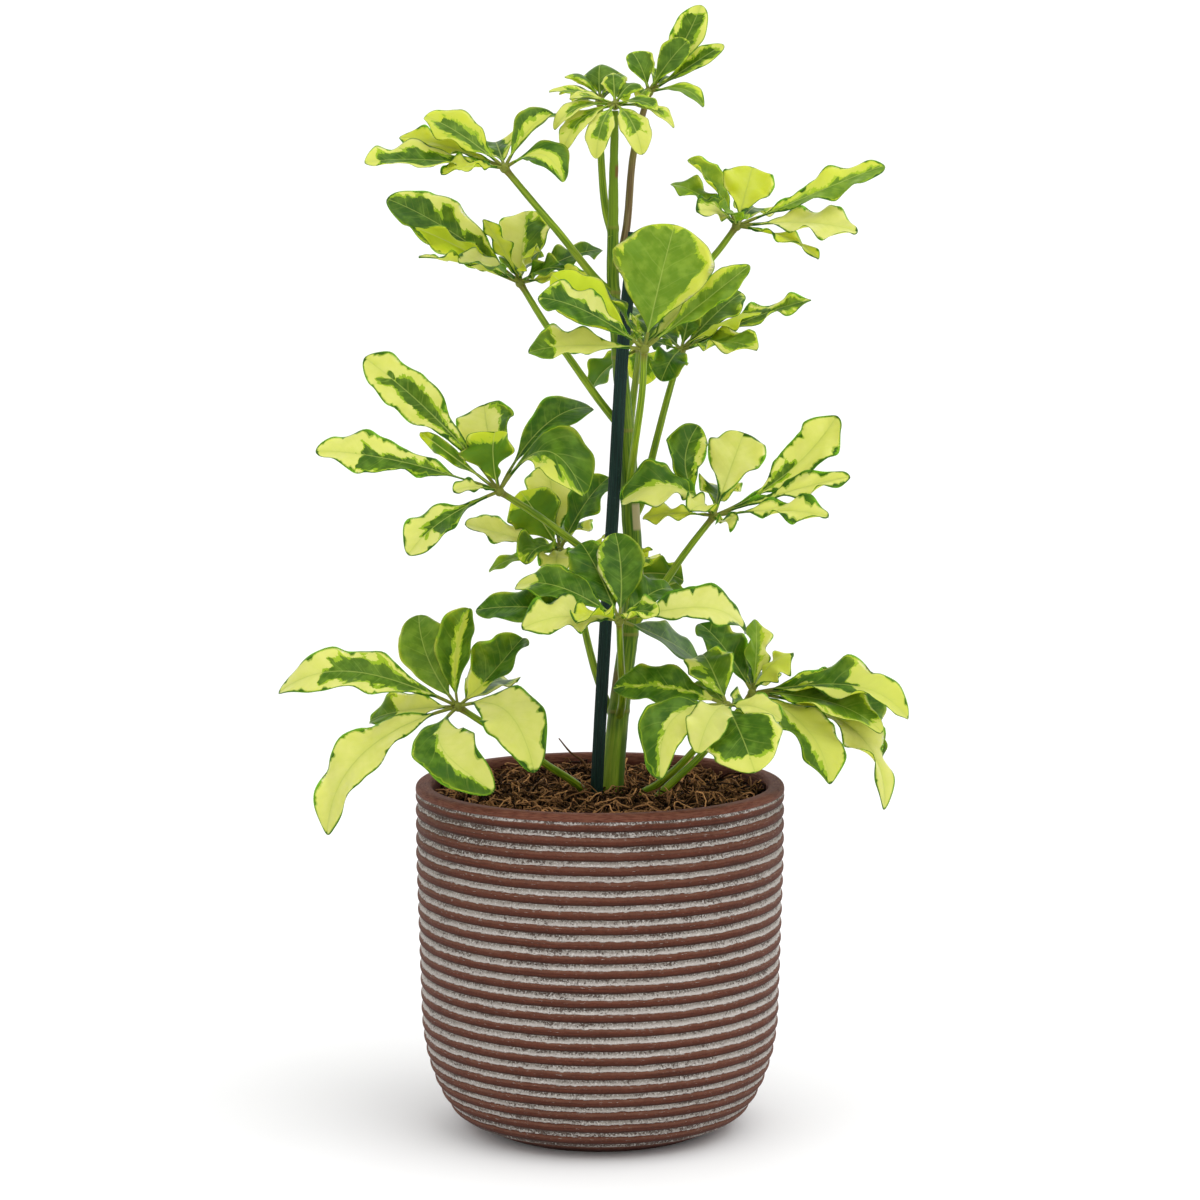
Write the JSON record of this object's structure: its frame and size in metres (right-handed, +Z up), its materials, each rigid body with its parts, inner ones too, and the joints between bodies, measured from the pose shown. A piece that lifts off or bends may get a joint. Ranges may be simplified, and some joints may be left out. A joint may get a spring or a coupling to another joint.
{
  "type": "potted umbrella plant",
  "caption": "Variegated umbrella plant with palmate leaves on a staked stem, growing in soil in a round ribbed clay pot.",
  "frame": {"origin": "middle of the pot's flat underside, on the surface that it stands on", "axes": "+Z up along the stem, +X to the right and -Y towards the viewer of the plant's best side"},
  "size_m": [0.3362, 0.2441, 0.6078],
  "materials": {
    "pot_clay": "matt brown clay with a grey-white wash in the grooves",
    "potting_soil": "loose dark coir and bark",
    "stake_coating": "satin dark green, finely ridged",
    "stem_bark": "smooth green bark with pale rings at the nodes",
    "leaf_stalk": "smooth satin green",
    "leaf_blade": "glossy waxy leaf, dark green patches on cream yellow"
  },
  "bodies": {
    "root": {"pot": "pot_clay", "soil": "potting_soil", "stake": "stake_coating", "main_stem": "stem_bark", "leaf_lower_left_stalk": "leaf_stalk", "leaf_lower_front_stalk": "leaf_stalk", "leaf_lower_right_stalk": "leaf_stalk", "leaf_middle_left_stalk": "leaf_stalk", "leaf_centre_front_stalk": "leaf_stalk", "leaf_centre_back_stalk": "leaf_stalk", "leaf_middle_right_stalk": "leaf_stalk", "leaf_upper_right_stalk": "leaf_stalk", "leaf_upper_front_stalk": "leaf_stalk", "leaf_upper_back_right_stalk": "leaf_stalk", "leaf_high_left_stalk": "leaf_stalk", "leaf_upper_left_stalk": "leaf_stalk", "leaf_crown_back_stalk": "leaf_stalk", "leaf_crown_right_stalk": "leaf_stalk", "leaf_back_upper_stalk": "leaf_stalk", "leaf_back_lower_stalk": "leaf_stalk", "leaf_lower_left_leaflets": "leaf_blade", "leaf_lower_front_leaflets": "leaf_blade", "leaf_lower_right_leaflets": "leaf_blade", "leaf_middle_left_leaflets": "leaf_blade", "leaf_centre_front_leaflets": "leaf_blade", "leaf_centre_back_leaflets": "leaf_blade", "leaf_middle_right_leaflets": "leaf_blade", "leaf_upper_right_leaflets": "leaf_blade", "leaf_upper_front_leaflets": "leaf_blade", "leaf_upper_back_right_leaflets": "leaf_blade", "leaf_high_left_leaflets": "leaf_blade", "leaf_upper_left_leaflets": "leaf_blade", "leaf_crown_front_leaflets": "leaf_blade", "leaf_crown_back_leaflets": "leaf_blade", "leaf_crown_right_leaflets": "leaf_blade", "leaf_back_upper_leaflets": "leaf_blade", "leaf_back_lower_leaflets": "leaf_blade"}
  },
  "joints": []
}
